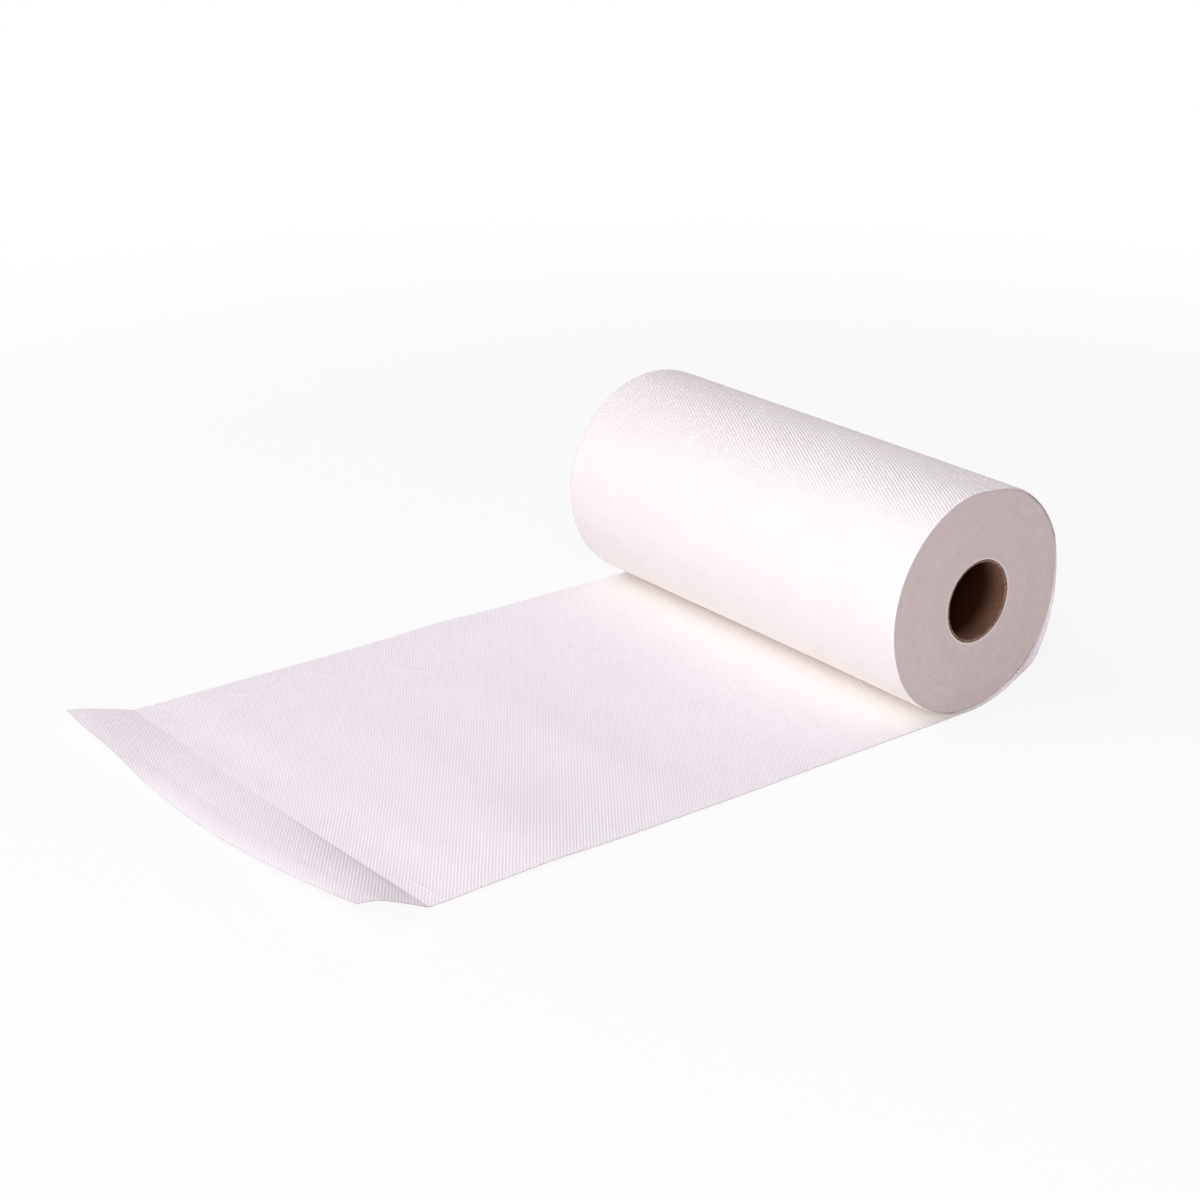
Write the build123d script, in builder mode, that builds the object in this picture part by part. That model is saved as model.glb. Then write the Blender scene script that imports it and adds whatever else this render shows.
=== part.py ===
"""Exam table paper roll: a card core, and one paper web wound on it whose loose end lies unrolled with a fold near its cut edge."""

import math
import os

from build123d import *

# Driving sizes, in millimetres and degrees. Z is up, the core lies along Y and the tail runs to -X.
web_width = 250.0
sheet = 0.4
roll_diameter = 117.6
bore_diameter = 40.0
core_wall = 1.4
core_recess = 0.5
core_edge_break = 0.3
winding_clearance = 0.05

# The soft roll settles a little onto its own tail.
flat_spot = 1.0

# The last turn hangs loose at the back: it leaves the roll, falls, bends and lands on the floor.
lift_angle = -5.0
fall_turn = 28.0
bend_radius = 10.0
landing_radius = 25.0
landing_turn = 23.0
landing_overlap = 1.0

# The tail, from below the core to its first fold, and the two strips beyond that fold.
tail_reach = 330.0
fold_slant = 5.0
fold_lead = 30.0
first_strip = 24.5
last_strip = 12.5

# Across the web: place as a share of the half width, slope of the first strip, slope of the last strip.
flap_slopes = (
    (-1.0, 29.0, 11.0),
    (-0.5, 18.0, -7.5),
    (0.0, 6.5, -6.5),
    (0.5, 11.5, 3.5),
    (1.0, 18.5, 7.5),
)

# The edges of the turns show on both ends as a shallow spiral groove.
turn_pitch = 4.0
groove_width = 0.5
groove_depth = 0.3
groove_margin = 2.0

# Sizes that follow from the ones above.
half_width = web_width / 2
roll_radius = roll_diameter / 2
bore_radius = bore_diameter / 2
core_radius = bore_radius + core_wall
winding_radius = core_radius + winding_clearance
axis_height = sheet + roll_radius - flat_spot
axis = Vector(0, axis_height)

# The outer turn is two half circles, the second one half a sheet smaller, so it laps by one sheet.
lift_way = Vector(math.cos(math.radians(lift_angle)), math.sin(math.radians(lift_angle)))
lap_centre = axis - lift_way * (sheet / 2)
lap_radius = roll_radius - sheet / 2
lift_outside = axis + lift_way * roll_radius
lift_inside = axis + lift_way * (roll_radius - sheet)

# Headings of the loose turn, and the fall radius and straight run that bring it down onto the floor.
lift_heading = math.radians(lift_angle - 90)
fall_heading = lift_heading - math.radians(fall_turn)
bend_heading = math.radians(landing_turn - 180)
bend_turn = math.degrees(fall_heading - bend_heading)
floor_heading = -math.pi
touch_x = math.sqrt(lap_radius**2 - (lap_radius - flat_spot) ** 2) - landing_overlap


def arc_shift(start, end):
    """Travel of a unit arc that turns right from one heading to the other."""
    return Vector(math.sin(start) - math.sin(end), math.cos(end) - math.cos(start))


fall_shift = arc_shift(lift_heading, fall_heading)
bend_shift = arc_shift(fall_heading, bend_heading) * bend_radius
landing_shift = arc_shift(bend_heading, floor_heading) * landing_radius
run_way = Vector(math.cos(bend_heading), math.sin(bend_heading))
still_to_go = Vector(touch_x, 0) - lift_outside - bend_shift - landing_shift
spread = fall_shift.X * run_way.Y - fall_shift.Y * run_way.X
fall_radius = (still_to_go.X * run_way.Y - still_to_go.Y * run_way.X) / spread
run_length = (fall_shift.X * still_to_go.Y - fall_shift.Y * still_to_go.X) / spread


def loose_turn(start, inset):
    """One face of the loose turn, from where it leaves the roll to the floor."""
    way = Vector(math.cos(lift_heading), math.sin(lift_heading))
    fall = JernArc(start, way, fall_radius - inset, -fall_turn)
    bend = JernArc(fall @ 1, fall % 1, bend_radius - inset, -bend_turn)
    run = Line(bend @ 1, bend @ 1 + (bend % 1) * run_length)
    return JernArc(run @ 1, run % 1, landing_radius - inset, -landing_turn)


def spiral(radius, turns):
    """One edge of the spiral groove, in half circles about two centres; gives its two ends."""
    halves = 2 * turns
    for half in range(halves):
        centre = axis + Vector(turn_pitch / 2, 0) * (half % 2)
        CenterArc(centre, radius + half * turn_pitch / 2, 180 * (half % 2), 180)
    return axis + Vector(radius, 0), axis + Vector(radius + turns * turn_pitch, 0)


with BuildPart() as core_tube:
    with BuildSketch(Plane.XZ):
        with Locations(axis):
            Circle(core_radius)
            Circle(bore_radius, mode=Mode.SUBTRACT)
    extrude(amount=half_width - core_recess, both=True)
    chamfer(core_tube.edges().filter_by(GeomType.CIRCLE), core_edge_break)

with BuildPart() as paper_roll:
    # Wound turns with their flat spot, the loose turn and the straight tail, in one section.
    with BuildSketch(Plane.XZ) as web_section:
        with BuildLine():
            CenterArc(axis, roll_radius, lift_angle, 180)
            CenterArc(lap_centre, lap_radius, lift_angle + 180, 180)
            Line(lift_inside, lift_outside)
        make_face()
        with Locations(Vector(0, sheet)):
            Rectangle(roll_diameter, flat_spot * 4, align=(Align.CENTER, Align.MAX), mode=Mode.SUBTRACT)
        with BuildLine():
            outside = loose_turn(lift_outside, 0)
            inside = loose_turn(lift_inside, sheet)
            Line(outside @ 1, inside @ 1)
            Line(lift_inside, lift_outside)
        make_face()
        with Locations(Vector(touch_x, 0)):
            Rectangle(touch_x + tail_reach - fold_lead, sheet, align=(Align.MAX, Align.MIN))
        with Locations(axis):
            Circle(winding_radius, mode=Mode.SUBTRACT)
    extrude(amount=half_width, both=True)

    # The end of the tail: flat up to the first fold, then two strips whose slopes change across the web.
    for place, first_slope, last_slope in flap_slopes:
        join = Vector(fold_lead - tail_reach, 0)
        fold = Vector(-tail_reach - place * fold_slant / 2, 0)
        crease = fold + Vector(-first_strip, 0).rotate(Axis.Z, -first_slope)
        edge = crease + Vector(-last_strip, 0).rotate(Axis.Z, -last_slope)
        lower = [join, fold, crease, edge]
        upper = [point + Vector(0, sheet) for point in reversed(lower)]
        with BuildSketch(Plane.XZ.offset(-place * half_width)):
            with BuildLine():
                Polyline(*lower, *upper, close=True)
            make_face()
    loft()

    # Edges of the turns on both ends.
    groove_start = winding_radius + groove_margin
    groove_room = roll_radius - flat_spot - groove_margin - groove_width - groove_start
    groove_turns = int(groove_room // turn_pitch)
    for end in (-1, 1):
        with BuildSketch(Plane.XZ.offset(end * half_width)):
            with BuildLine():
                inner_ends = spiral(groove_start, groove_turns)
                outer_ends = spiral(groove_start + groove_width, groove_turns)
                Line(inner_ends[0], outer_ends[0])
                Line(inner_ends[1], outer_ends[1])
            make_face()
        extrude(amount=-end * groove_depth, mode=Mode.SUBTRACT)

os.makedirs("parts", exist_ok=True)
core_tube.part.label = "core_tube"
export_step(core_tube.part, "parts/core_tube.step")
paper_roll.part.label = "paper_roll"
export_step(paper_roll.part, "parts/paper_roll.step")
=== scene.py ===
import math

import bpy
import numpy as np
from mathutils import Matrix


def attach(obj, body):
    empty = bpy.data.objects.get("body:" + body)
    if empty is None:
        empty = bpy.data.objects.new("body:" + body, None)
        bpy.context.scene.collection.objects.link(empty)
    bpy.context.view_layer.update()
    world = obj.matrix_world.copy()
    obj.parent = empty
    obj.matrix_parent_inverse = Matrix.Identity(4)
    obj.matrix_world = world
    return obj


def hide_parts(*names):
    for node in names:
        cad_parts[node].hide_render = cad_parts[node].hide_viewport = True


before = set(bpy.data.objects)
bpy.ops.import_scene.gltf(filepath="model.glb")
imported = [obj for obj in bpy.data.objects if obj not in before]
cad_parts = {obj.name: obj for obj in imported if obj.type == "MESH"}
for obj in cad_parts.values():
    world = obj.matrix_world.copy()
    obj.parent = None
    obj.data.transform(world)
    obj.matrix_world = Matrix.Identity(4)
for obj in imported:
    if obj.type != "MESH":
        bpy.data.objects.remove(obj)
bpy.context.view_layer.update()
scene = bpy.context.scene
scene.view_settings.view_transform = "Standard"
scene.cycles.diffuse_bounces = 12  # white paper hands light on many times where the roll meets its tail
mm = 0.001
fullTurn = 2 * math.pi
print("frame loaded, nodes:", sorted(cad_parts))


# Shared helpers

class Wire:
    # One socket of a node tree. Python's operators on it add Math nodes.
    def __init__(self, tree, socket=None):
        self.tree = tree
        self.socket = socket

    def node(self, kind, settings=None, inputs=None, output=0):
        # any node: its settings go in first, then the values or links of its sockets
        made = self.tree.nodes.new("ShaderNode" + kind)
        for name, value in (settings or {}).items():
            setattr(made, name, value)
        for name, value in (inputs or {}).items():
            if isinstance(value, Wire):
                self.tree.links.new(value.socket, made.inputs[name])
            else:
                made.inputs[name].default_value = value
        return Wire(self.tree, made.outputs[output])

    def math(self, operation, first, second=0.0):
        return self.node("Math", {"operation": operation}, {0: first, 1: second})

    def __add__(self, other):
        return self.math("ADD", self, other)

    __radd__ = __add__

    def __sub__(self, other):
        return self.math("SUBTRACT", self, other)

    def __rsub__(self, other):
        return self.math("SUBTRACT", other, self)

    def __mul__(self, other):
        return self.math("MULTIPLY", self, other)

    __rmul__ = __mul__

    def __truediv__(self, other):
        return self.math("DIVIDE", self, other)

    def __rtruediv__(self, other):
        return self.math("DIVIDE", other, self)

    def __pow__(self, other):
        return self.math("POWER", self, other)

    def __rpow__(self, other):
        return self.math("POWER", other, self)

    def cos(self):
        return self.math("COSINE", self)

    def absolute(self):
        return self.math("ABSOLUTE", self)

    def hypot(self, other):
        # root of the sum of two squares
        return (self * self + other * other) ** 0.5

    def ramp(self, low, high):
        # eased 0 to 1 between low and high
        return self.node("MapRange", {"interpolation_type": "SMOOTHSTEP"},
                         {"Value": self, "From Min": low, "From Max": high})

    def span(self, low, inFrom, inTo, high):
        # eased up from low to inFrom, 1 from there to inTo, eased down again to high
        return self.ramp(low, inFrom) * (1 - self.ramp(inTo, high))

    def line(self, halfWidth):
        # 1 where this value is 0, eased to 0 at the half width on both sides
        return 1 - self.absolute().ramp(0.0, halfWidth)

    def mix(self, first, second):
        # blends two colours by this value
        return self.node("Mix", {"data_type": "RGBA"}, {0: self, 6: first, 7: second}, 2)

    def place(self):
        # the point on the object, in metres
        return self.node("TexCoord", None, None, "Object")

    def flatPlace(self):
        # the point on the flat sheet, in metres
        return self.node("UVMap", {"uv_map": "flatPlace"})

    def attribute(self, name):
        return self.node("Attribute", {"attribute_name": name}, None, "Fac")

    def outputs(self, names):
        # other outputs of the node that this wire comes from
        return [Wire(self.tree, self.socket.node.outputs[name]) for name in names]

    def xyz(self):
        # the three coordinates of a place
        return self.node("SeparateXYZ", None, {0: self}).outputs("XYZ")

    def noise(self, scale, detail, roughness):
        # cloudy noise at this place
        inputs = {"Vector": self, "Scale": scale, "Detail": detail, "Roughness": roughness}
        return self.node("TexNoise", None, inputs)

    def specks(self, scale, size):
        # 1 on scattered small spots, eased to 0 between the two sizes, which are shares of their spacing
        return 1 - self.node("TexVoronoi", None, {"Vector": self, "Scale": scale}).ramp(*size)

    def bump(self, strength, distance):
        # a bumped normal, with this value as the height
        return self.node("Bump", None, {"Strength": strength, "Distance": distance, "Height": self})


def newMaterial(name):
    # an empty material with one Principled shader, and a wire to start from
    material = bpy.data.materials.new(name)
    material.use_nodes = True
    tree = material.node_tree
    tree.nodes.clear()
    shader = tree.nodes.new("ShaderNodeBsdfPrincipled")
    output = tree.nodes.new("ShaderNodeOutputMaterial")
    tree.links.new(shader.outputs[0], output.inputs[0])
    return material, shader, Wire(tree)


def finishShader(shader, colour, bump, finish):
    # colour and bump change over the surface, roughness and specular level are the same all over
    colour.tree.links.new(colour.socket, shader.inputs["Base Color"])
    bump.tree.links.new(bump.socket, shader.inputs["Normal"])
    shader.inputs["Roughness"].default_value = finish["roughness"]
    shader.inputs["Specular IOR Level"].default_value = finish["specular"]


def bell(value):
    # 1 at 0, falling off with the exponential of the square
    return np.exp(-(value ** 2))


def easedStep(value, low, high):
    # 0 below low, 1 above high, three t squared less two t cubed between them
    t = np.clip((value - low) / (high - low), 0, 1)
    return t * t * (3 - 2 * t)


def easedSpan(value, low, inFrom, inTo, high):
    # an eased step up from low to inFrom, and an eased step down from inTo to high
    return easedStep(value, low, inFrom) * (1 - easedStep(value, inTo, high))


def gridFaces(rows, columns, closed=False, start=0):
    # corner numbers of a grid's quads, its points counted row by row; closed joins last to first both ways
    left = 0 if closed else 1
    row = np.arange(rows - left)[:, None]
    column = np.arange(columns - left)[None, :]
    nextRow, nextColumn = (row + 1) % rows, (column + 1) % columns
    corners = np.broadcast_arrays(row * columns + column, row * columns + nextColumn,
                                  nextRow * columns + nextColumn, nextRow * columns + column)
    return start + np.stack(corners, -1).reshape(-1, 4)


def everyAngle(values, angle):
    # a column of values, the same at every angle
    return np.repeat(values[:, None], len(angle), axis=1)


def aroundAxis(radius, angle, y):
    # points at a radius and an angle about the core's axis
    return np.stack([radius * np.cos(angle), y, radius * np.sin(angle) + rollSizes["axisHeight"]], -1)


def makePiece(name, points, faces, material, flatPlace=None, sharpDegrees=45):
    # points in millimetres; faces turn outwards by the sign of the volume they close
    a, b, c, d = (points[faces[:, k]] for k in range(4))
    volume = (a * np.cross(b, c)).sum() + (a * np.cross(c, d)).sum()
    if volume < 0:
        faces = faces[:, ::-1]
    mesh = bpy.data.meshes.new(name)
    mesh.from_pydata((points * mm).tolist(), [], faces.tolist())
    mesh.polygons.foreach_set("use_smooth", np.ones(len(faces), dtype=bool))
    mesh.set_sharp_from_angle(angle=math.radians(sharpDegrees))
    if flatPlace is not None:
        layer = mesh.uv_layers.new(name="flatPlace")
        layer.data.foreach_set("uv", (flatPlace[faces] * mm).astype(np.float32).ravel())
    mesh.materials.append(material)
    mesh.update()
    piece = bpy.data.objects.new(name, mesh)
    scene.collection.objects.link(piece)
    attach(piece, "root")
    print("made", name, "with", 2 * len(faces), "triangles")
    return piece


def addAttribute(piece, name, domain, values):
    layer = piece.data.attributes.new(name, "FLOAT", domain)
    layer.data.foreach_set("value", np.asarray(values, dtype=np.float32))


# The sizes that the roll's pieces share, in millimetres and degrees

rollSizes = {
    "width": 250.0,
    "rollRadius": 58.8,
    "axisHeight": 58.2,
    "coreRadius": 21.4,
    "boreRadius": 20.0,
    "coreHalfLength": 124.5,
    "sheet": 0.36,
    "tailSheet": 0.4,
    "turnGap": 0.05,
    # rounding of the roll's two edges: how deep, and how far in it dies away
    "edgeRound": 0.5,
    "edgeReach": 0.7,
    # the near end is a little out of round: angle, reach in degrees, depth inwards
    "endDents": ((84, 13, 1.6), (218, 20, -0.8)),
    "dentFade": 45.0,
}
halfWidth = rollSizes["width"] / 2


def edgeInset(y):
    # how far the roll's outside is drawn in at its two edges: a depth that dies away over the reach
    return rollSizes["edgeRound"] * np.exp((np.abs(y) - halfWidth) / rollSizes["edgeReach"])


def endDent(angle, y):
    # how far the near end is pressed in: a sum of bells by angle, times a bell of the distance from it
    degrees = np.degrees(angle) % 360
    dents = rollSizes["endDents"]
    pressed = sum(depth * bell((degrees - middle) / reach) for middle, reach, depth in dents)
    return pressed * bell((y + halfWidth) / rollSizes["dentFade"])


# Paper web: outer turn, loose turn, tail and folded end in one sheet

webSettings = {
    "liftAngle": 25.2,
    "slackTurn": 10.9,
    "fallTurn": 42.6,
    "fallRadius": 83.4,
    "bendRadius": 17.1,
    "landingTurn": 25.0,
    "landingRadius": 70.2,
    "touchX": -2.2,
    "tailReach": 330.2,
    "foldSlant": 6.2,
    "foldBow": 1.5,
    "firstStrip": 24.5,
    "stripTaper": 0.9,
    "lastStrip": 12.5,
    "flapLead": 8.0,
    # place across the web, slope of the first strip, slope of the last strip
    "flapSlopes": ((-125, 26.5, 13.0), (-108, 24.5, 4.0), (-85, 19.4, 1.5), (-58, 15.0, -3.0),
                   (-25, 8.0, -3.5), (10, 5.6, -2.0), (36, 6.8, 0.0), (52, 6.8, 7.0), (67, 9.0, 12.0),
                   (82, 13.5, 10.0), (96, 14.2, 9.5), (112, 15.5, 9.5), (125, 17.5, 12.5)),
    "slopeEase": 15,
    # how much each strip's slope changes along it: where the crease between them is faint, and where sharp
    "firstCurl": (0.08, 0.7),
    "lastCurl": (9.0, 27.0),
    "creaseSharp": (-125, -95, 25, 75),
    "creaseNip": 8.0,
    "creaseReach": 1.2,
    "creaseRound": 0.7,
    "foldRound": 1.2,
    # sideways drift of the loose turn, and of the tail's far end at its two edges
    "looseDrift": -1.3,
    "tailDrift": (2.3, -0.6),
    "tailDriftFrom": 130.0,
    "edgeInsetFrom": 8.0,
    # soft humps of the tail: x, y, reach along x, reach along y, height
    "humps": ((-262, -88, 28, 42, 2.4), (-181, -40, 16, 62, 0.9), (-246, 0, 15, 50, 0.6),
              (-300, 60, 10, 45, 0.6), (-297, -75, 10, 45, 0.7), (-150, 125, 26, 22, 1.0),
              (-120, -70, 20, 60, 0.5), (-183, 25, 16, 50, 0.5), (-122, 15, 20, 55, 0.5)),
    # slow ripple: height, its middle, and the lengths along x and y of each wave
    "ripple": 0.1,
    "rippleMiddle": 0.2,
    "rippleWaves": ((23.0, 61.0), (37.0, -29.0), (90.0, 17.0)),
    # thin slanting wrinkles: from x, y to x, y, height
    "wrinkles": ((-241, 114, -213, 71, 0.35), (-207, 96, -182, 63, 0.3), (-176, 91, -152, 63, 0.28),
                 (-160, 85, -138, 60, 0.2), (-125, 71, -84, 8, 0.4), (-288, 117, -273, 98, 0.2),
                 (-319, -98, -317, -126, 0.3)),
    "wrinkleReach": 1.8,
    "wrinkleTaper": (-0.05, 0.3, 0.6, 1.05),
    # the tail is flat near the roll and at the first fold, to which it rises: how high, over what length
    "flatAtRoll": (25, 80),
    "flatAtFold": 26,
    "foldRise": (0.4, 14.0),
    # points along each stretch of the path, and across the web
    "points": (4, 2, 48, 10, 22, 12, 6, 12, 150, 90),
    "columns": 130,
    "edgeColumns": (0.0, 0.25, 0.6, 1.1, 1.8),
    "sharpDegrees": 60,
}


def webStretches():
    # Lengths of the path's stretches, and how far each turns to the right. It starts flat below the roll,
    # goes up the front, over the top and down the back, then slackens, falls, bends, runs, lands, and ends
    # as tail and flap. The slack arc's radius and the straight run bring it down onto the floor.
    r, w = rollSizes, webSettings
    settle = r["rollRadius"] - (r["axisHeight"] - r["tailSheet"])
    flatHalf = math.sqrt(r["rollRadius"] ** 2 - (r["rollRadius"] - settle) ** 2)
    settleTurn = math.degrees(math.acos(1 - settle / r["rollRadius"]))
    turned = np.cumsum([0, w["slackTurn"], w["fallTurn"]])
    heads = np.radians([*(w["liftAngle"] - 90 - turned), w["landingTurn"] - 180, -180])
    # travel of a unit arc between two headings: differences of their sines and cosines
    sine, cosine = np.sin(heads), np.cos(heads)
    shift = np.stack([sine[:-1] - sine[1:], cosine[1:] - cosine[:-1]], -1)
    run = np.array([cosine[3], sine[3]])
    lift = math.radians(w["liftAngle"])
    lifted = np.array([math.cos(lift), math.sin(lift)]) * r["rollRadius"] + [0, r["axisHeight"]]
    arcs = shift[1] * w["fallRadius"] + shift[2] * w["bendRadius"] + shift[3] * w["landingRadius"]
    left = np.array([w["touchX"], 0]) - lifted - arcs
    slackRadius, runLength = np.linalg.solve(np.stack([shift[0], run], -1), left)
    print("loose turn: slack radius %.1f mm, straight run %.1f mm" % (slackRadius, runLength))
    rollTurn = 270 - settleTurn - w["liftAngle"]
    bendTurn = math.degrees(heads[2] - heads[3])
    turns = [0, settleTurn, rollTurn, w["slackTurn"], w["fallTurn"], bendTurn, 0, w["landingTurn"], 0, 0]
    loose = [slackRadius, w["fallRadius"], w["bendRadius"]]
    lengths = np.radians(turns) * [0, 0, r["rollRadius"], *loose, 0, w["landingRadius"], 0, 0]
    lengths[[0, 6]] = flatHalf, runLength
    lengths[1] = 1e-6  # the path turns on the spot where it leaves its flat start
    lengths[8] = w["touchX"] + w["tailReach"] - w["flapLead"]
    lengths[9] = w["flapLead"] + w["firstStrip"] + w["lastStrip"]
    return lengths, turns


def webPath():
    # places along the path, the ends of its stretches, and the heading, which turns evenly along each one
    lengths, turns = webStretches()
    ends = np.concatenate([[0], np.cumsum(lengths)])
    heads = np.pi - np.radians(np.concatenate([[0], np.cumsum(turns)]))
    stretches = zip(ends[:-1], ends[1:], webSettings["points"])
    along = np.unique(np.concatenate([np.linspace(*stretch) for stretch in stretches]))
    return along, ends, np.interp(along, ends, heads)


def sumChords(along, heading):
    # x and z of the path: each chord is the step times the sine ratio of half its turn, on its mean heading
    turn = np.diff(heading, axis=0)
    middle = (heading[1:] + heading[:-1]) / 2
    chord = np.diff(along, axis=0) * np.sinc(turn / fullTurn)
    zero = np.zeros((1, heading.shape[1]))
    x = np.concatenate([zero, np.cumsum(chord * np.cos(middle), axis=0)])
    z = np.concatenate([zero, np.cumsum(chord * np.sin(middle), axis=0)])
    return x, z + rollSizes["tailSheet"]


def acrossTable(column, across):
    # one column of the flap's table at every place across the web, its corners eased by a running mean
    table = np.array(webSettings["flapSlopes"])
    reach = webSettings["slopeEase"]
    fine = np.arange(-halfWidth - 2 * reach, halfWidth + 2 * reach + 1)
    ease = np.hanning(2 * reach + 1)
    eased = np.convolve(np.interp(fine, table[:, 0], table[:, column]), ease / ease.sum(), "same")
    return np.interp(across, fine, eased)


def foldLine(across):
    # how far the first fold leans away from the roll: a slant, less a bow with the square of the place
    share = across / halfWidth
    return share * webSettings["foldSlant"] / 2 - share ** 2 * webSettings["foldBow"]


def firstStrip(across):
    # width of the strip between the first fold and the next crease, a little narrower to the far side
    return webSettings["firstStrip"] - webSettings["stripTaper"] * across / halfWidth


def flapRise(beyond, across):
    # Slope of the folded end. Past the first fold it takes the first strip's slope, steeper at the fold
    # than at the next crease. Past that crease it takes the last strip's slope, which curls down towards
    # the edge. Both curls are eased in and out across the web, and the crease itself is a narrow valley.
    w = webSettings
    firstSlope, lastSlope = (acrossTable(column, across) for column in (1, 2))
    sharp = easedSpan(across, *w["creaseSharp"])
    curls = (w["firstCurl"], w["lastCurl"])
    firstCurl, lastCurl = (faint + (full - faint) * sharp for faint, full in curls)
    strip = firstStrip(across)
    alongFirst = np.clip(beyond / strip, 0, 1)
    alongLast = np.clip((beyond - strip) / w["lastStrip"], 0, 1)
    firstPart = firstSlope * (1 + firstCurl * (1 - 2 * alongFirst))
    lastPart = lastSlope + lastCurl * (0.5 - alongLast)
    fromCrease = (beyond - strip) / w["creaseReach"]
    atCrease = easedStep(fromCrease, -w["creaseRound"], w["creaseRound"])
    nip = w["creaseNip"] * sharp * fromCrease * bell(fromCrease)
    slope = firstPart * (1 - atCrease) + lastPart * atCrease + nip
    return np.radians(easedStep(beyond, -w["foldRound"], w["foldRound"]) * slope)


def tailSwell(x, y):
    # Height of the tail over the floor: a faint slow ripple, bell-shaped humps and thin ridges along short
    # lines, all fading out at the roll and at the first fold, to which the tail rises a little.
    w = webSettings
    waves = sum(np.sin(x / lengthX + y / lengthY) for lengthX, lengthY in w["rippleWaves"])
    swell = w["ripple"] * waves + w["rippleMiddle"]
    for humpX, humpY, reachX, reachY, height in w["humps"]:
        swell = swell + height * bell((x - humpX) / reachX) * bell((y - humpY) / reachY)
    for fromX, fromY, toX, toY, height in w["wrinkles"]:
        length = math.hypot(toX - fromX, toY - fromY)
        wayX, wayY = (toX - fromX) / length, (toY - fromY) / length
        along = ((x - fromX) * wayX + (y - fromY) * wayY) / length
        aside = (x - fromX) * wayY - (y - fromY) * wayX
        swell = swell + height * easedSpan(along, *w["wrinkleTaper"]) * bell(aside / w["wrinkleReach"])
    fromFold = x + w["tailReach"] + foldLine(y)
    flat = easedStep(-x, *w["flatAtRoll"]) * easedStep(fromFold, 0, w["flatAtFold"])
    rise, reach = w["foldRise"]
    return np.maximum(swell, 0) * flat + rise * (1 - easedStep(fromFold, 0, reach))


def webShape():
    # The path is carried across the web, with the flap's slope taken off its heading. The inner face lies
    # one sheet to the right of the outer one. On the roll both are drawn in at the edges and pressed in at
    # the near end, and the loose turn and the tail drift sideways.
    r, w = rollSizes, webSettings
    along, ends, heading = webPath()
    rollFrom, liftAt, slackEnd, fallEnd, tailFrom, flapFrom, flapEnd = ends[[1, 3, 4, 5, 8, 9, 10]]
    edge = np.array(w["edgeColumns"]) - halfWidth
    inset = 2 * edge[-1] - edge[-2]
    across = np.concatenate([edge, np.linspace(inset, -inset, w["columns"]), -edge[::-1]])
    foldShift = foldLine(across)
    edgeShift = foldShift + firstStrip(across) - w["firstStrip"]
    alongFlap = np.clip((along - flapFrom) / (flapEnd - flapFrom), 0, 1)
    along = along[:, None] + edgeShift * alongFlap[:, None]
    fromFold = along - (flapFrom + w["flapLead"] + foldShift)
    heading = heading[:, None] - flapRise(fromFold, across[None, :])
    x, z = sumChords(along, heading)
    looseDrift = w["looseDrift"] * easedStep(along, liftAt, fallEnd)
    tailDrift = np.interp(across, (-halfWidth, halfWidth), w["tailDrift"])
    y = across + looseDrift + tailDrift * easedStep(along, tailFrom + w["tailDriftFrom"], flapFrom)
    z = z + np.where(along >= tailFrom, tailSwell(x, y), 0)
    inward = np.stack([np.sin(heading), np.zeros_like(x), -np.cos(heading)], -1)
    onRoll = easedSpan(along, rollFrom, rollFrom + w["edgeInsetFrom"], slackEnd, fallEnd)
    drawnIn = onRoll * (edgeInset(across) + endDent(np.arctan2(z - r["axisHeight"], x), y))
    outer = np.stack([x, y, z], -1) + inward * drawnIn[..., None]
    flat = np.stack([-along, np.broadcast_to(across, x.shape)], -1)
    creases = {"fromFold": fromFold, "fromCrease": fromFold - firstStrip(across)}
    return outer, outer + inward * r["sheet"], flat, creases, flapEnd


def buildWeb(material):
    # both faces of the sheet are grids, and a rim of quads joins them along all four edges
    outer, inner, flat, creases, length = webShape()
    rows, columns = outer.shape[:2]
    half = rows * columns
    grid = np.arange(half).reshape(rows, columns)
    rim = np.concatenate([grid[0, :-1], grid[:-1, -1], grid[-1, :0:-1], grid[:0:-1, 0]])
    rimNext = np.roll(rim, -1)
    faces = np.concatenate([gridFaces(rows, columns), gridFaces(rows, columns, start=half)[:, ::-1],
                            np.stack([rim, rim + half, rimNext + half, rimNext], -1)])
    points = np.concatenate([outer, inner]).reshape(-1, 3)
    flat = np.concatenate([flat, flat]).reshape(-1, 2)
    piece = makePiece("paper_web", points, faces, material, flat, webSettings["sharpDegrees"])
    addAttribute(piece, "innerFace", "POINT", np.repeat([0.0, 1.0], half))
    for name, distance in creases.items():
        addAttribute(piece, name, "POINT", np.tile(distance.ravel(), 2) * mm)
    addAttribute(piece, "cutEdge", "FACE", np.arange(len(faces)) >= len(faces) - len(rim))
    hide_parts("paper_roll")
    return piece, length


# Wound turns: the body under the outer turn, with the cut edges of all the turns on its two ends

turnSettings = {
    "rings": 104,
    "around": 200,
    # how the ends stand in and out: slowly from ring to ring, round the ring, and by single rings
    "endInset": 0.25,
    "edgeWander": 0.08,
    "wanderReach": 20,
    "wanderSway": 0.25,
    "edgeRough": 0.02,
    # the outermost rings fall away: how far, from what share of the radius
    "fallDepth": 0.25,
    "fallFrom": 0.97,
    # slack at the back under the loose turn: how deep, where it starts and ends in degrees
    "slack": 0.32,
    "slackReach": (-112, -92, 55, 78),
    "dent": 1.45,
    "dentAngle": -2,
    "dentReach": 17,
    "lowDrop": 0.3,
    "lowReach": (5, 30),
    # rows along the outside: distances from each edge, then evenly over the middle
    "edgeRows": (1.0, 1.6, 2.6),
    "middleRows": 5,
    "middleReach": 110,
    # powers of the radius by which the rounding of the edge and the end's dents fade inwards
    "roundPower": 30,
    "dentPower": 2,
    "seed": 5,
}


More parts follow.
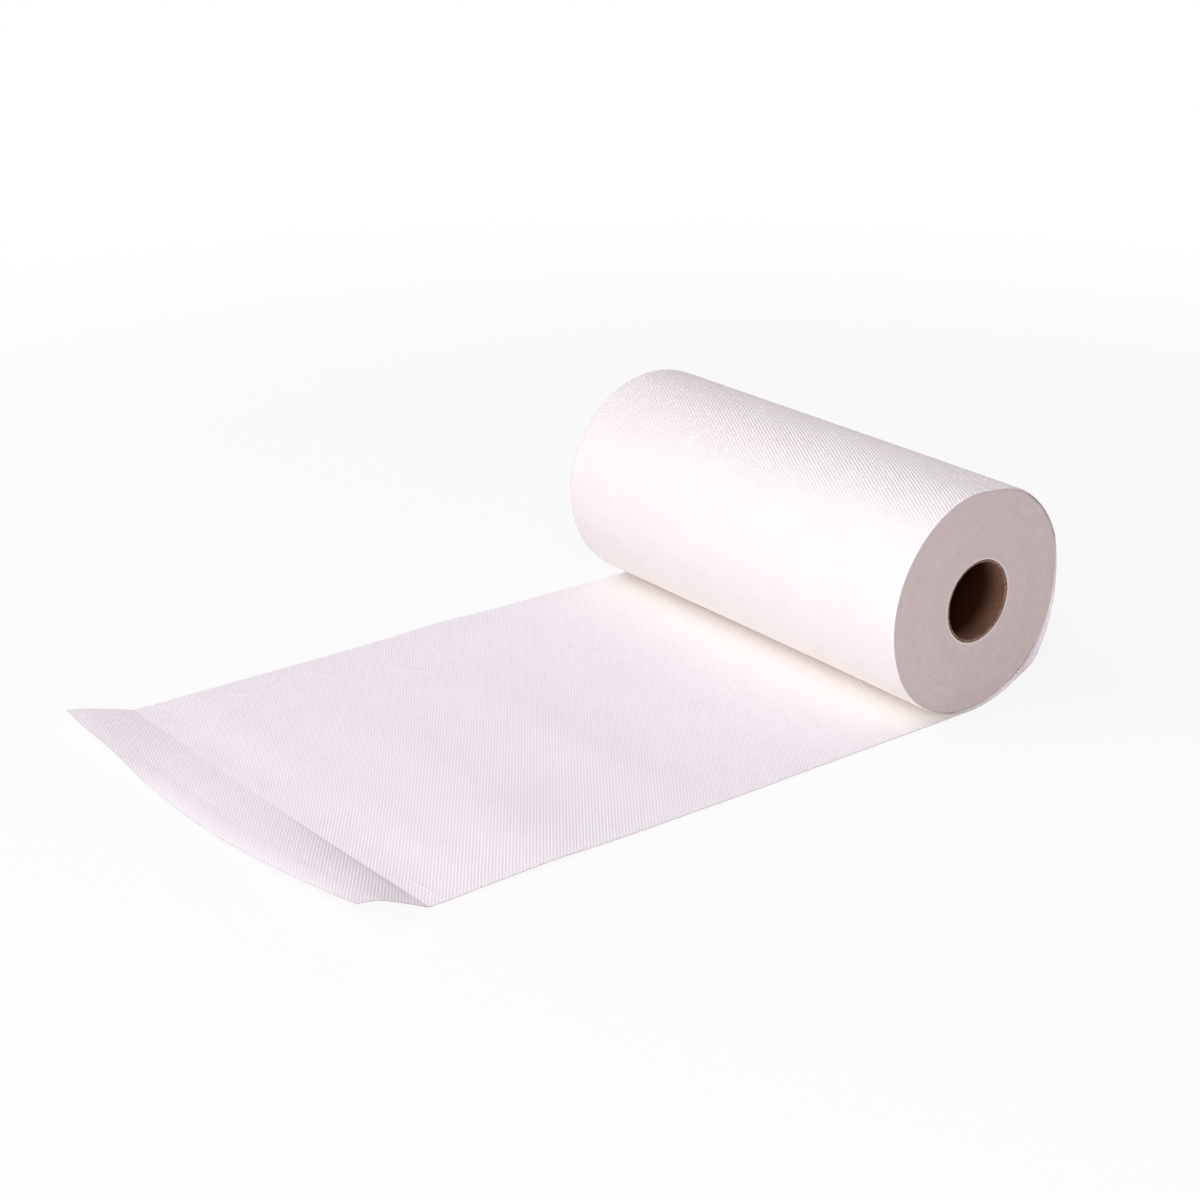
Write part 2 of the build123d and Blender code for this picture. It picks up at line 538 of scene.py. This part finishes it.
def bodyOutline(angle):
    # Radius of the body by angle: the roll less one sheet, flat below. At the back it is a slack line
    # smaller, with a bell-shaped dent where the outer turn presses in, and smaller again below the dent.
    r, t = rollSizes, turnSettings
    back = np.degrees((angle + np.pi) % fullTurn - np.pi)
    drawnIn = t["slack"] + t["dent"] * bell((back - t["dentAngle"]) / t["dentReach"])
    drawnIn = drawnIn + t["lowDrop"] * easedStep(-back, *t["lowReach"])
    cover = r["sheet"] + r["turnGap"]
    outline = r["rollRadius"] - cover - drawnIn * easedSpan(back, *t["slackReach"])
    floorGap = r["axisHeight"] - r["tailSheet"] - cover
    below = np.maximum(-np.sin(angle), 0.1)  # kept off zero: on the upper half the flat is far away
    return np.minimum(outline, floorGap / below)


def buildTurns(material):
    # A closed outline in radius and length, carried round the axis. The share of the radius goes from the
    # core to the body's own outline. Each ring of the ends stands out by its own small amount, and the
    # outermost ones fall away where the roll's edge is rounded.
    r, t = rollSizes, turnSettings
    rng = np.random.default_rng(t["seed"])
    angle = np.linspace(0, fullTurn, t["around"], endpoint=False)
    share = np.linspace(0, 1, t["rings"])
    reach = t["wanderReach"]
    steps = rng.normal(0, 1, t["rings"] + 2 * reach)
    wander = np.convolve(steps, np.hanning(reach + 1), "same")[reach:-reach]
    wander = t["edgeWander"] * wander / np.abs(wander).max()
    rough = rng.uniform(-1, 1, (2, t["rings"])) * t["edgeRough"]
    fallAway = t["fallDepth"] * np.clip((share - t["fallFrom"]) / (1 - t["fallFrom"]), 0, 1) ** 2
    near, far = (side * (halfWidth - t["endInset"] + (ringRough - fallAway)[:, None]
                         + wander[:, None] * (1 + t["wanderSway"] * np.cos(angle + side)))
                 for side, ringRough in zip((-1, 1), rough))
    edgeY = np.array(t["edgeRows"]) - halfWidth
    middleY = np.linspace(-t["middleReach"], t["middleReach"], t["middleRows"])
    wallY = np.concatenate([edgeY, middleY, -edgeY[::-1]])
    wall = everyAngle(wallY, angle)
    outside = np.ones(len(wallY))
    share = np.concatenate([share, outside, share[::-1], 0 * outside])[:, None]
    y = np.concatenate([near, wall, far[::-1], wall[::-1]])
    start = r["coreRadius"] + r["turnGap"]
    radius = start + share * (bodyOutline(angle) - start)
    radius = radius - share ** t["roundPower"] * edgeInset(y)
    radius = radius - share ** t["dentPower"] * endDent(angle, y)
    points = aroundAxis(radius, angle, y).reshape(-1, 3)
    piece = makePiece("wound_turns", points, gridFaces(*y.shape, closed=True), material)
    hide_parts("paper_roll")


# Card core: spiral-wound tube with a rough cut rim

coreSettings = {
    "around": 176,
    "wallRows": 96,
    "wallInset": 0.4,
    "outsideRows": 5,
    "outsideInset": 0.6,
    "rimRows": 12,
    # groove of the winding's seam, and the step of the lapped card from seam to seam
    "seamPitch": 74.0,
    "seamDepth": 0.18,
    "seamReach": 1.6,
    "lapStep": 0.1,
    # the cut rim: height of its lumps and their numbers of waves, plies of card, break of its edges
    "rimLump": 0.22,
    "rimWaves": (2, 3, 5, 9, 14, 23),
    "plies": 3,
    "plyDepth": 0.1,
    "edgeBreak": 0.35,
    "wobble": 0.12,
    "wobbleWaves": 7,
    "seed": 3,
}


def buildCore(material):
    # A closed outline in radius and length, carried round the axis. The bore has a groove on a helix, a
    # bell-shaped dip where length plus pitch times turn repeats, and the card steps up between its turns.
    # Each rim waves by a few sines, shows its plies as arches and drops at both edges by a sixth power.
    r, c = rollSizes, coreSettings
    rng = np.random.default_rng(c["seed"])
    angle = np.linspace(0, fullTurn, c["around"], endpoint=False)
    half = r["coreHalfLength"]
    wallHalf, outsideHalf = half - c["wallInset"], half - c["outsideInset"]
    wallY = everyAngle(np.linspace(-wallHalf, wallHalf, c["wallRows"]), angle)
    outsideY = everyAngle(np.linspace(outsideHalf, -outsideHalf, c["outsideRows"]), angle)
    phase = (wallY / c["seamPitch"] + angle / fullTurn) % 1.0
    seam = c["seamDepth"] * bell((phase - 0.5) * c["seamPitch"] / c["seamReach"])
    bore = r["boreRadius"] + seam + c["lapStep"] * (phase - 1)
    waves = sum(rng.uniform(0.3, 1) * np.sin(k * angle + rng.uniform(0, 6.28)) / k ** 0.5
                for k in c["rimWaves"])
    waves = c["rimLump"] * waves / np.abs(waves).max()
    place = np.linspace(0, 1, c["rimRows"])[:, None]
    plies = c["plyDepth"] * np.abs(np.sin(c["plies"] * np.pi * place))
    edges = c["edgeBreak"] * (2 * np.abs(place - 0.5)) ** 6
    rimLift = plies - edges + waves * np.sin(np.pi * (0.9 * place + 0.05))
    wobble = c["wobble"] * np.sin(c["wobbleWaves"] * angle + 1.0) * 4 * place * (1 - place)
    rimRadius = r["boreRadius"] + place * (r["coreRadius"] - r["boreRadius"]) + wobble
    y = np.concatenate([wallY, half + rimLift, outsideY, -half - rimLift[::-1]])
    outside = np.full_like(outsideY, r["coreRadius"])
    radius = np.concatenate([bore, rimRadius, outside, rimRadius[::-1]])
    points = aroundAxis(radius, angle, y).reshape(-1, 3)
    flat = np.stack([np.broadcast_to(angle * r["boreRadius"], y.shape), y], -1).reshape(-1, 2)
    piece = makePiece("card_core", points, gridFaces(*y.shape, closed=True), material, flat)
    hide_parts("core_tube")


# Finishes: lengths in metres, and pairs "by face" are for the outer and the inner face of the web

paperFinish = {
    # tones by face, and the blend between them: its middle, and what the inner face and clouds add to it
    "white": ((0.945, 0.903, 0.886, 1), (0.985, 0.933, 0.955, 1)),
    "shade": ((0.815, 0.77, 0.757, 1), (0.865, 0.817, 0.838, 1)),
    "tone": 0.55,
    "innerTone": 0.07,
    "cloudTone": 0.2,
    "cloudReach": (0.3, 0.7),
    # scale, detail and roughness of the two noises
    "cloud": (38.0, 4.0, 0.6),
    "fibre": (1400.0, 3.0, 0.6),
    "fibreShare": 0.12,
    # two crossed sets of embossed rows: rows per metre along and across, and how each shows by face
    "rowsA": (552.0, -410.0),
    "rowsB": (555.0, 303.0),
    "shareA": (0.25, 1.0),
    "shareB": (1.0, 0.3),
    "embossDepth": 0.00014,
    "emboss": (1.0, 0.42),
    # painted shade in the emboss's pits, by face
    "paintedPitShade": (0.2, 0.55),
    # the roll's front is pressed smoother: where along the web that ends, how much later towards the far
    # side, how much of the emboss is left there, and how much painted light lightens the paper beyond it
    "pressedReach": (0.115, 0.17),
    "farDelay": 0.2,
    "pressedShare": 0.3,
    "paintedLightLift": 0.3,
    # painted bounce light, creamy, about where the roll meets its tail: its x, its reach, its share by face
    "paintedNipLight": (0.925, 0.913, 0.86, 1),
    "nipX": -0.025,
    "nipReach": (0.01, 0.06),
    "paintedNipLightShare": (1.0, 0.5),
    # painted highlights along the tail's thin wrinkles, which the bump also raises
    "crease": (1.0, 0.965, 0.98, 1),
    "creaseWidth": 0.0007,
    "creaseWander": 0.003,
    "creaseTaper": (-0.05, 0.25, 0.6, 1.05),
    # a stronger one along the last crease, broken up by the clouds
    "lastCrease": 1.5,
    "lastCreaseWidth": 0.001,
    "lastCreaseWander": 0.0016,
    "lastCreaseReach": (-0.122, -0.105, 0.06, 0.1),
    "lastCreaseBreaks": (0.34, 0.5),
    # a thin shaded line just past the first fold, on the near half of the web
    "foldShade": (0.55, 0.5, 0.52, 1),
    "foldShadeShare": 0.35,
    "foldShadeAt": 0.0005,
    "foldShadeWidth": 0.0011,
    "foldShadeEnd": (-0.04, 0.02),
    "speck": (0.35, 0.24, 0.18, 1),
    "speckShare": 0.35,
    "speckScale": 42.0,
    "speckSize": (0.01, 0.02),
    # cut edges: their own darker colour, and partly painted shade for the contact shadow under the tail's
    # edge
    "cutEdge": (0.62, 0.545, 0.525, 1),
    "roughness": 0.9,
    "specular": 0.25,
}


def creaseLines(start, wander):
    # 1 on the lines of the tail's wrinkles, fading to their ends, and more on the last crease
    # the lines are raised in the bump and painted lighter as highlights
    p = paperFinish
    x, y = start.place().xyz()[:2]
    waver = (wander - 0.5) * p["creaseWander"]
    lines = []
    for fromX, fromY, toX, toY in (wrinkle[:4] for wrinkle in webSettings["wrinkles"]):
        length = math.hypot(toX - fromX, toY - fromY)
        wayX, wayY = (toX - fromX) / length, (toY - fromY) / length
        offX, offY = x - fromX * mm, y - fromY * mm
        along = (offX * wayX + offY * wayY) / (length * mm)
        aside = offX * wayY - offY * wayX + waver
        lines.append(aside.line(p["creaseWidth"]) * along.span(*p["creaseTaper"]))
    fromCrease = start.attribute("fromCrease") + (wander - 0.5) * p["lastCreaseWander"]
    lastCrease = fromCrease.line(p["lastCreaseWidth"]) * y.span(*p["lastCreaseReach"])
    return sum(lines) + lastCrease * wander.ramp(*p["lastCreaseBreaks"]) * p["lastCrease"]


def paperMaterial():
    # soft embossed paper: two crossed sets of rows, read from the flat sheet, over a faint fibre mottle
    p = paperFinish
    material, shader, start = newMaterial("embossedPaper")
    flat = start.flatPlace()
    along, across = flat.xyz()[:2]
    inner = start.attribute("innerFace")

    def byFace(name):
        outerValue, innerValue = p[name]
        return inner * (innerValue - outerValue) + outerValue

    def embossedRows(name):
        perAlong, perAcross = p[name]
        return (along * (fullTurn * perAlong) + across * (fullTurn * perAcross)).cos()

    fibre, cloud = flat.noise(*p["fibre"]), flat.noise(*p["cloud"])
    farSide = start.math("MAXIMUM", across, 0.0)
    beyondFront = (0 - along - farSide * p["farDelay"]).ramp(*p["pressedReach"])
    unpressed = start.math("MAXIMUM", beyondFront, inner)
    rows = embossedRows("rowsA") * byFace("shareA") + embossedRows("rowsB") * byFace("shareB")
    rows = rows * (unpressed * (1 - p["pressedShare"]) + p["pressedShare"])
    creases = creaseLines(start, cloud)
    height = rows * byFace("emboss") + fibre * p["fibreShare"] + creases
    # painted light: the outer face is lighter beyond the pressed front, offsetting the shading of its
    # emboss
    lift = (unpressed - inner) * p["paintedLightLift"]
    clouds = cloud.ramp(*p["cloudReach"]) * p["cloudTone"]
    # the pits take painted shade in the tone
    tone = clouds + rows * byFace("paintedPitShade") + lift + inner * p["innerTone"] + p["tone"]
    colour = tone.mix(inner.mix(*p["shade"]), inner.mix(*p["white"]))
    x, z = start.place().xyz()[::2]
    # painted light: lighter and creamier near the nip, for light bounced between roll and tail
    nipLightMask = 1 - (x - p["nipX"]).hypot(z).ramp(*p["nipReach"])
    colour = (nipLightMask * byFace("paintedNipLightShare")).mix(colour, p["paintedNipLight"])
    specks = flat.specks(p["speckScale"], p["speckSize"])
    colour = (specks * p["speckShare"]).mix(colour, p["speck"])
    foldShade = (start.attribute("fromFold") - p["foldShadeAt"]).line(p["foldShadeWidth"])
    foldShade = foldShade * (1 - across.ramp(*p["foldShadeEnd"])) * inner
    colour = (foldShade * p["foldShadeShare"]).mix(colour, p["foldShade"])
    # painted highlights on the wrinkles and the last crease
    colour = creases.mix(colour, p["crease"])
    # cut edges: own darker colour, partly painted shade for the contact shadow under the tail's edge
    colour = start.attribute("cutEdge").mix(colour, p["cutEdge"])
    finishShader(shader, colour, height.bump(1.0, p["embossDepth"]), p)
    return material


edgeFinish = {
    "light": (0.70, 0.612, 0.575, 1),
    "dark": (0.605, 0.524, 0.49, 1),
    "toneReach": (0.25, 0.75),
    # fine lines of the turns: pitch, shares in the bump and in the tone
    "turnPitch": 0.00026,
    "lineBump": 0.3,
    "lineTone": 0.06,
    "bumpStrength": 0.6,
    "bumpDepth": 0.00006,
    # uneven rings and mottle: scale, detail and roughness; rings are drawn out round the axis
    "rings": (0.9, 5.0, 0.7),
    "ringDraw": 0.35,
    "mottle": (160.0, 4.0, 0.6),
    # dark specks, more of them near the core
    "speck": (0.33, 0.25, 0.21, 1),
    "speckShare": 0.7,
    "speckScale": 170.0,
    "speckSize": (0.05, 0.12),
    "speckReach": (0.024, 0.046),
    "speckPatches": (0.45, 0.6),
    # the first turns on the core are paler
    "pale": (0.84, 0.78, 0.75, 1),
    "paleShare": 0.7,
    "paleReach": (0.0218, 0.0227),
    "roughness": 0.95,
    "specular": 0.15,
}


def edgeMaterial():
    # cut edges of the turns: fine rings by distance from the axis, uneven from ring to ring, slightly warm
    e = edgeFinish
    material, shader, start = newMaterial("cutTurnEdges")
    place = start.place()
    x, z = place.xyz()[::2]
    z = z - rollSizes["axisHeight"] * mm
    radius, angle = x.hypot(z), start.math("ARCTAN2", z, x)
    lines = (radius * (fullTurn / e["turnPitch"]) - angle).cos()
    ringPlace = start.node("CombineXYZ", None, {0: radius / mm, 1: angle * e["ringDraw"]})
    rings, mottle = ringPlace.noise(*e["rings"]), place.noise(*e["mottle"])
    tone = (rings + mottle) * 0.5 + lines * e["lineTone"]
    colour = tone.ramp(*e["toneReach"]).mix(e["dark"], e["light"])
    specks = place.specks(e["speckScale"], e["speckSize"])
    nearCore = (1 - radius.ramp(*e["speckReach"])) * mottle.ramp(*e["speckPatches"])
    colour = (specks * nearCore * e["speckShare"]).mix(colour, e["speck"])
    firstTurns = 1 - radius.ramp(*e["paleReach"])
    colour = (firstTurns * e["paleShare"]).mix(colour, e["pale"])
    bump = (lines * e["lineBump"] + rings).bump(e["bumpStrength"], e["bumpDepth"])
    finishShader(shader, colour, bump, e)
    return material


cardFinish = {
    "brown": (0.285, 0.162, 0.11, 1),
    "dark": (0.19, 0.095, 0.055, 1),
    "toneReach": (0.3, 0.7),
    # fibres drawn out on a slant: two ways, each by scales round and along the core; then their noise
    "grain": ((160.0, -90.0), (500.0, 900.0)),
    "fibre": (1.0, 5.0, 0.65),
    "fibreShare": 0.6,
    "cloud": (70.0, 3.0, 0.5),
    "bumpStrength": 0.7,
    "bumpDepth": 0.0001,
    # a darker line at the seam, as shares of its pitch
    "seamShare": 0.5,
    "seamReach": (0.002, 0.016),
    # painted shade, dark deep in the bore where little light reaches: distances from the middle of the core
    "paintedBoreShade": (0.035, 0.010, 0.003, 1),
    "boreShadeReach": (0.1095, 0.124),
    # the cut rim, in patches of two tones
    "rim": (0.33, 0.207, 0.152, 1),
    "rimDark": (0.15, 0.088, 0.06, 1),
    "rimReach": (0.1237, 0.1240),
    "rimPatches": (620.0, 3.0, 0.7),
    "rimTone": (0.36, 0.64),
    # painted shade: a dark line round the rim, in the gap against the paper
    "rimGapShade": (0.03, 0.016, 0.01, 1),
    "rimGapShadeShare": 0.85,
    "rimGapShadeReach": (0.02095, 0.02125),
    "rimGapShadeBreaks": (0.35, 0.6),
    "roughness": 0.8,
    "specular": 0.1,
}


def cardMaterial():
    # brown core card: winding fibres, a darker seam line, painted shade deep inside and round the rim, a
    # rough cut rim
    k = cardFinish
    material, shader, start = newMaterial("coreCard")
    along, across = start.flatPlace().xyz()[:2]
    place = start.place()
    x, length, z = place.xyz()
    grain = {way: along * scales[0] + across * scales[1] for way, scales in enumerate(k["grain"])}
    fibre = start.node("CombineXYZ", None, grain).noise(*k["fibre"])
    cloud = place.noise(*k["cloud"])
    tone = fibre * k["fibreShare"] + cloud * (1 - k["fibreShare"])
    colour = tone.ramp(*k["toneReach"]).mix(k["dark"], k["brown"])
    boreLength = fullTurn * rollSizes["boreRadius"] * mm
    winding = across / (coreSettings["seamPitch"] * mm) + along / boreLength
    # 10 whole turns keep the winding above zero
    fromSeam = (start.math("FRACT", winding + 10.0) - 0.5).absolute()
    seam = 1 - fromSeam.ramp(*k["seamReach"])
    colour = (seam * k["seamShare"]).mix(colour, k["dark"])
    fromMiddle = length.absolute()
    # painted shade: darker deep in the bore, the brown tone only near its mouths
    colour = fromMiddle.ramp(*k["boreShadeReach"]).mix(k["paintedBoreShade"], colour)
    rim = place.noise(*k["rimPatches"]).ramp(*k["rimTone"]).mix(k["rimDark"], k["rim"])
    colour = fromMiddle.ramp(*k["rimReach"]).mix(colour, rim)
    radius = x.hypot(z - rollSizes["axisHeight"] * mm)
    # painted shade in the gap where the rim meets the paper, broken up by the clouds
    rimGapShade = radius.ramp(*k["rimGapShadeReach"]) * cloud.ramp(*k["rimGapShadeBreaks"])
    colour = (rimGapShade * k["rimGapShadeShare"]).mix(colour, k["rimGapShade"])
    finishShader(shader, colour, fibre.bump(k["bumpStrength"], k["bumpDepth"]), k)
    return material


paperWeb, webLength = buildWeb(paperMaterial())
buildTurns(edgeMaterial())
buildCore(cardMaterial())
webLength * mm
print("web length %.1f mm" % webLength)


# Floor, background, lamps and camera

floorSettings = {
    "reach": 9.0,
    "drop": 0.00015,
    "colour": (0.93, 0.925, 0.93, 1),
    # how much of it the camera sees as plain white, and over what distances that grows to all of it
    "whiteShare": 0.85,
    "fade": (0.45, 1.1),
}


def seenRays(start):
    # 1 for camera, glossy and transmission rays, 0 for the light that falls on the object
    camera = start.node("LightPath", None, None, "Is Camera Ray")
    glossy, transmission = camera.outputs(("Is Glossy Ray", "Is Transmission Ray"))
    return start.math("MINIMUM", camera + glossy + transmission, 1.0)


def buildFloor():
    # a large square; camera rays see it partly as plain white, wholly so far from the object
    f = floorSettings
    square = np.array([[-1, -1, 0], [1, -1, 0], [1, 1, 0], [-1, 1, 0]])
    corners = square * f["reach"] - [0, 0, f["drop"]]
    mesh = bpy.data.meshes.new("floor")
    mesh.from_pydata(corners.tolist(), [], [(0, 1, 2, 3)])
    floor = bpy.data.objects.new("floor", mesh)
    scene.collection.objects.link(floor)
    material = bpy.data.materials.new("paleFloor")
    material.use_nodes = True
    tree = material.node_tree
    tree.nodes.clear()
    start = Wire(tree)
    away = start.node("VectorMath", {"operation": "LENGTH"}, {0: start.place()}, "Value")
    share = seenRays(start) * (away.ramp(*f["fade"]) * (1 - f["whiteShare"]) + f["whiteShare"])
    matt = start.node("BsdfDiffuse", None, {"Color": f["colour"]})
    white = start.node("Emission", None, {"Color": (1, 1, 1, 1), "Strength": 1.0})
    blend = start.node("MixShader", None, {0: share, 1: matt, 2: white})
    output = tree.nodes.new("ShaderNodeOutputMaterial")
    tree.links.new(blend.socket, output.inputs[0])
    mesh.materials.append(material)


lightSettings = {
    "ambient": 0.32,
    "tint": (0.98, 0.946, 1.0),
    "aim": (-0.12, 0, 0.04),
    "lamps": {
        "keyLamp": {"way": (-0.60, 0.25, 0.80), "distance": 3.0, "size": 2.0, "power": 41.5},
        "fillLamp": {"way": (-0.70, -0.60, 0.35), "distance": 3.0, "size": 2.0, "power": 27.0},
        "frontLamp": {"way": (-0.62, -0.65, 0.45), "distance": 1.3, "size": 0.6, "power": 4.0},
        "rimLamp": {"way": (0.80, 0.60, 0.05), "distance": 3.0, "size": 2.0, "power": 32.5,
                    "tint": (1.0, 0.84, 0.89)},
    },
}


def buildWorld():
    # even ambient light, which cameras and reflections see as white
    world = bpy.data.worlds.new("paleRoom")
    world.use_nodes = True
    tree = world.node_tree
    tree.nodes.clear()
    start = Wire(tree)
    seen = seenRays(start)
    level = seen * (1 - lightSettings["ambient"]) + lightSettings["ambient"]
    colour = seen.mix((*lightSettings["tint"], 1), (1, 1, 1, 1))
    glow = start.node("Background", None, {"Color": colour, "Strength": level})
    output = tree.nodes.new("ShaderNodeOutputWorld")
    tree.links.new(glow.socket, output.inputs[0])
    scene.world = world


def turnedTo(side, up, back, place):
    # a place, and the turn whose x, y and z ways are side, up and back
    return Matrix.Translation(place) @ Matrix(np.column_stack([side, up, back]).tolist()).to_4x4()


def addLamp(name, way, distance, size, power, tint=lightSettings["tint"]):
    # a square soft box that faces the aim point from the given way
    lamp = bpy.data.lights.new(name, "AREA")
    lamp.shape = "SQUARE"
    lamp.size = size
    lamp.energy = power
    lamp.color = tint
    holder = bpy.data.objects.new(name, lamp)
    scene.collection.objects.link(holder)
    back = np.array(way) / np.linalg.norm(way)
    side = np.cross([0, 0, 1], back)
    side = side / np.linalg.norm(side)
    place = np.array(lightSettings["aim"]) + back * distance
    holder.matrix_world = turnedTo(side, np.cross(back, side), back, place)


cameraSettings = {
    "place": (-0.77218, -0.78964, 0.46152),
    "azimuth": -38.8175,
    "elevation": 22.0176,
    "roll": 0.7409,
    "lens": 66.266,
    "sensor": 36.0,
    "farEnd": 50.0,
}


def addCamera():
    # the camera looks against "back"; roll turns its side and up ways about that line
    c = cameraSettings
    azimuth, elevation, roll = (math.radians(c[name]) for name in ("azimuth", "elevation", "roll"))
    level = np.array([math.cos(azimuth), math.sin(azimuth), 0])
    away = np.array([math.sin(azimuth), -math.cos(azimuth), 0])
    back = away * math.cos(elevation) + np.array([0, 0, math.sin(elevation)])
    rise = np.cross(back, level)
    side = math.cos(roll) * level + math.sin(roll) * rise
    up = math.cos(roll) * rise - math.sin(roll) * level
    lens = bpy.data.cameras.new("camera")
    lens.lens = c["lens"]
    lens.sensor_width = c["sensor"]
    lens.clip_end = c["farEnd"]
    camera = bpy.data.objects.new("camera", lens)
    scene.collection.objects.link(camera)
    camera.matrix_world = turnedTo(side, up, back, c["place"])
    scene.camera = camera


buildFloor()
buildWorld()
for lampName, lampParts in lightSettings["lamps"].items():
    addLamp(lampName, **lampParts)
addCamera()
print("stage, lamps and camera placed")
